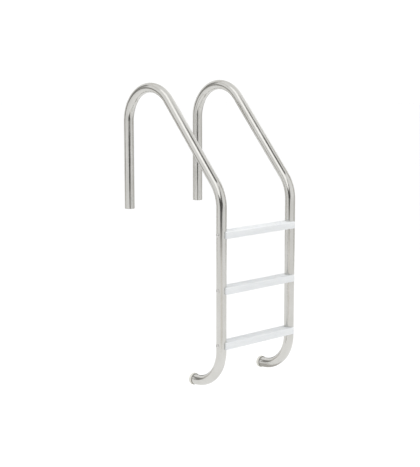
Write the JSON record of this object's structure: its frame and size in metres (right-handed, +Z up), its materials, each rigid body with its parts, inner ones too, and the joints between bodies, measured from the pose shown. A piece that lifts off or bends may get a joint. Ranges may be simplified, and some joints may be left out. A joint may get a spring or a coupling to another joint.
{
  "type": "pool ladder",
  "caption": "In-ground pool ladder: two bent stainless tube handrails joined by moulded plastic treads, with wall bumpers on the feet.",
  "frame": {"origin": "midway between the bottom ends of the two deck legs", "axes": "+Z up, +X across the ladder, +Y from the pool towards the deck; left is -X, as seen from the pool"},
  "size_m": [0.5188, 0.7221, 1.4369],
  "materials": {
    "polished_stainless": "polished",
    "stainless_fastener": "satin",
    "white_tread_plastic": "fine moulded texture",
    "ivory_bumper": "smooth"
  },
  "bodies": {
    "root": {"left_rail": "polished_stainless", "right_rail": "polished_stainless", "upper_tread": "white_tread_plastic", "middle_tread": "white_tread_plastic", "lower_tread": "white_tread_plastic", "upper_left_bolt": "stainless_fastener", "upper_left_saddle_washer": "stainless_fastener", "upper_left_flat_washer": "stainless_fastener", "upper_left_lock_nut": "stainless_fastener", "upper_right_bolt": "stainless_fastener", "upper_right_saddle_washer": "stainless_fastener", "upper_right_flat_washer": "stainless_fastener", "upper_right_lock_nut": "stainless_fastener", "middle_left_bolt": "stainless_fastener", "middle_left_saddle_washer": "stainless_fastener", "middle_left_flat_washer": "stainless_fastener", "middle_left_lock_nut": "stainless_fastener", "middle_right_bolt": "stainless_fastener", "middle_right_saddle_washer": "stainless_fastener", "middle_right_flat_washer": "stainless_fastener", "middle_right_lock_nut": "stainless_fastener", "lower_left_bolt": "stainless_fastener", "lower_left_saddle_washer": "stainless_fastener", "lower_left_flat_washer": "stainless_fastener", "lower_left_lock_nut": "stainless_fastener", "lower_right_bolt": "stainless_fastener", "lower_right_saddle_washer": "stainless_fastener", "lower_right_flat_washer": "stainless_fastener", "lower_right_lock_nut": "stainless_fastener", "left_bumper": "ivory_bumper", "right_bumper": "ivory_bumper"}
  },
  "joints": []
}
